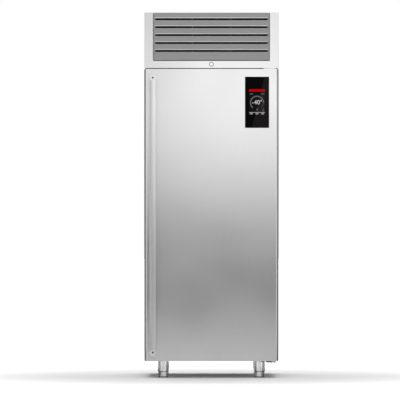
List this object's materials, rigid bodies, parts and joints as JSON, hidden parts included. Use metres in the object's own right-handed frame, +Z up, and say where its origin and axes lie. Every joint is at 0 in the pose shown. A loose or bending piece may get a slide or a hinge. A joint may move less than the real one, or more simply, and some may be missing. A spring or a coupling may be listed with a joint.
{
  "type": "blast chiller",
  "caption": "Upright blast chiller with an insulated stainless cabinet, full-height door handle, glass control panel, louvred hinged hood front and levelling feet, for cooling hot food fast.",
  "frame": {"origin": "on the floor, under the middle of the bounding box from the handle's front to the casing screws on the back", "axes": "+X to the right seen from the front, +Y to the back, +Z up"},
  "size_m": [0.78, 0.848, 2.12],
  "materials": {
    "stainless_sheet": "satin",
    "stainless_bright": "satin",
    "grey_grille": "satin",
    "galvanised": "matte",
    "foam": "matte",
    "grey_plastic": "matte",
    "black_plastic": "matte",
    "black_rubber": "matte",
    "black_enamel": "gloss",
    "aluminium_fins": "satin",
    "copper": "satin",
    "brass": "satin",
    "black_glass": "gloss",
    "circuit_board": "satin",
    "polished_steel": "polished",
    "filter_mesh": "matte",
    "bush_plastic": "matte",
    "dark_steel": "satin"
  },
  "bodies": {
    "cabinet": {"side_panel_left": "stainless_sheet", "side_panel_right": "stainless_sheet", "back_panel": "stainless_sheet", "bottom_panel": "galvanised", "deck_panel": "galvanised", "foam_insulation": "foam", "chamber_liner": "stainless_bright", "door_frame": "grey_plastic", "leg_sleeves": "polished_steel", "top_hinge_bracket": "stainless_bright", "bottom_hinge_bracket": "stainless_sheet", "tray_rack_left": "stainless_bright", "tray_rack_right": "stainless_bright", "evaporator_fins": "aluminium_fins", "evaporator_tubes": "copper", "evaporator_cover": "stainless_bright", "fan_guards": "stainless_bright", "evaporator_motors": "black_enamel", "drain_spigot": "stainless_bright", "compressor": "black_enamel", "compressor_mounts": "black_rubber", "condenser_fins": "aluminium_fins", "condenser_tubes": "copper", "fan_shroud": "galvanised", "condenser_motor": "black_enamel", "liquid_receiver": "black_enamel", "filter_drier": "copper", "expansion_valve": "brass", "refrigerant_pipes": "copper", "control_box": "stainless_sheet", "control_box_lid": "stainless_sheet", "power_board": "circuit_board", "mains_gland": "black_plastic", "hood_top": "stainless_sheet", "hood_back": "stainless_sheet", "hood_rail": "stainless_sheet", "casing_screws": "dark_steel"},
    "door": {"door_outer_skin": "stainless_sheet", "door_inner_skin": "stainless_bright", "door_foam": "foam", "door_gasket": "black_rubber", "handle_bar": "polished_steel", "handle_posts": "polished_steel", "handle_screws": "dark_steel", "display_glass": "black_glass", "display_module": "black_plastic", "hinge_bushes": "bush_plastic"},
    "front_panel": {"front_frame": "stainless_bright", "louvre_grille": "grey_grille", "air_filter": "filter_mesh"},
    "lock": {"lock_barrel": "polished_steel"},
    "evaporator_fan_top": {"evaporator_fan_top": "black_plastic"},
    "evaporator_fan_middle": {"evaporator_fan_middle": "black_plastic"},
    "evaporator_fan_bottom": {"evaporator_fan_bottom": "black_plastic"},
    "condenser_fan": {"condenser_fan": "aluminium_fins"},
    "foot_front_left": {"foot_front_left": "polished_steel"},
    "foot_front_right": {"foot_front_right": "polished_steel"},
    "foot_back_left": {"foot_back_left": "polished_steel"},
    "foot_back_right": {"foot_back_right": "polished_steel"},
    "drain_plug": {"drain_plug": "polished_steel"}
  },
  "joints": [
    {"name": "door_hinge", "type": "hinge", "parent": "cabinet", "child": "door", "pos_m": [0.358, -0.355, 0.945], "axis": [0, 0, 1], "range_deg": [0, 110]},
    {"name": "front_panel_hinge", "type": "hinge", "parent": "cabinet", "child": "front_panel", "pos_m": [0, -0.3655, 2.1095], "axis": [-1, 0, 0], "range_deg": [0, 75]},
    {"name": "lock_turn", "type": "hinge", "parent": "front_panel", "child": "lock", "pos_m": [0, -0.376, 1.82], "axis": [0, 1, 0], "range_deg": [0, 90]},
    {"name": "evaporator_fan_bottom_spin", "type": "hinge", "parent": "cabinet", "child": "evaporator_fan_bottom", "pos_m": [-0.1525, 0.0289, 0.45316], "axis": [1, 0, 0], "continuous": true},
    {"name": "evaporator_fan_middle_spin", "type": "hinge", "parent": "cabinet", "child": "evaporator_fan_middle", "pos_m": [-0.1525, 0.0289, 0.94175], "axis": [1, 0, 0], "continuous": true},
    {"name": "evaporator_fan_top_spin", "type": "hinge", "parent": "cabinet", "child": "evaporator_fan_top", "pos_m": [-0.1525, 0.0289, 1.43034], "axis": [1, 0, 0], "continuous": true},
    {"name": "condenser_fan_spin", "type": "hinge", "parent": "cabinet", "child": "condenser_fan", "pos_m": [-0.155, -0.215, 1.952], "axis": [0, 1, 0], "continuous": true},
    {"name": "foot_front_left_screw", "type": "slide", "parent": "cabinet", "child": "foot_front_left", "axis": [0, 0, -1], "range_m": [0, 0.03]},
    {"name": "foot_front_right_screw", "type": "slide", "parent": "cabinet", "child": "foot_front_right", "axis": [0, 0, -1], "range_m": [0, 0.03]},
    {"name": "foot_back_left_screw", "type": "slide", "parent": "cabinet", "child": "foot_back_left", "axis": [0, 0, -1], "range_m": [0, 0.03]},
    {"name": "foot_back_right_screw", "type": "slide", "parent": "cabinet", "child": "foot_back_right", "axis": [0, 0, -1], "range_m": [0, 0.03]},
    {"name": "drain_plug_lift", "type": "slide", "parent": "cabinet", "child": "drain_plug", "axis": [0, 0, 1], "range_m": [0, 0.06]}
  ]
}
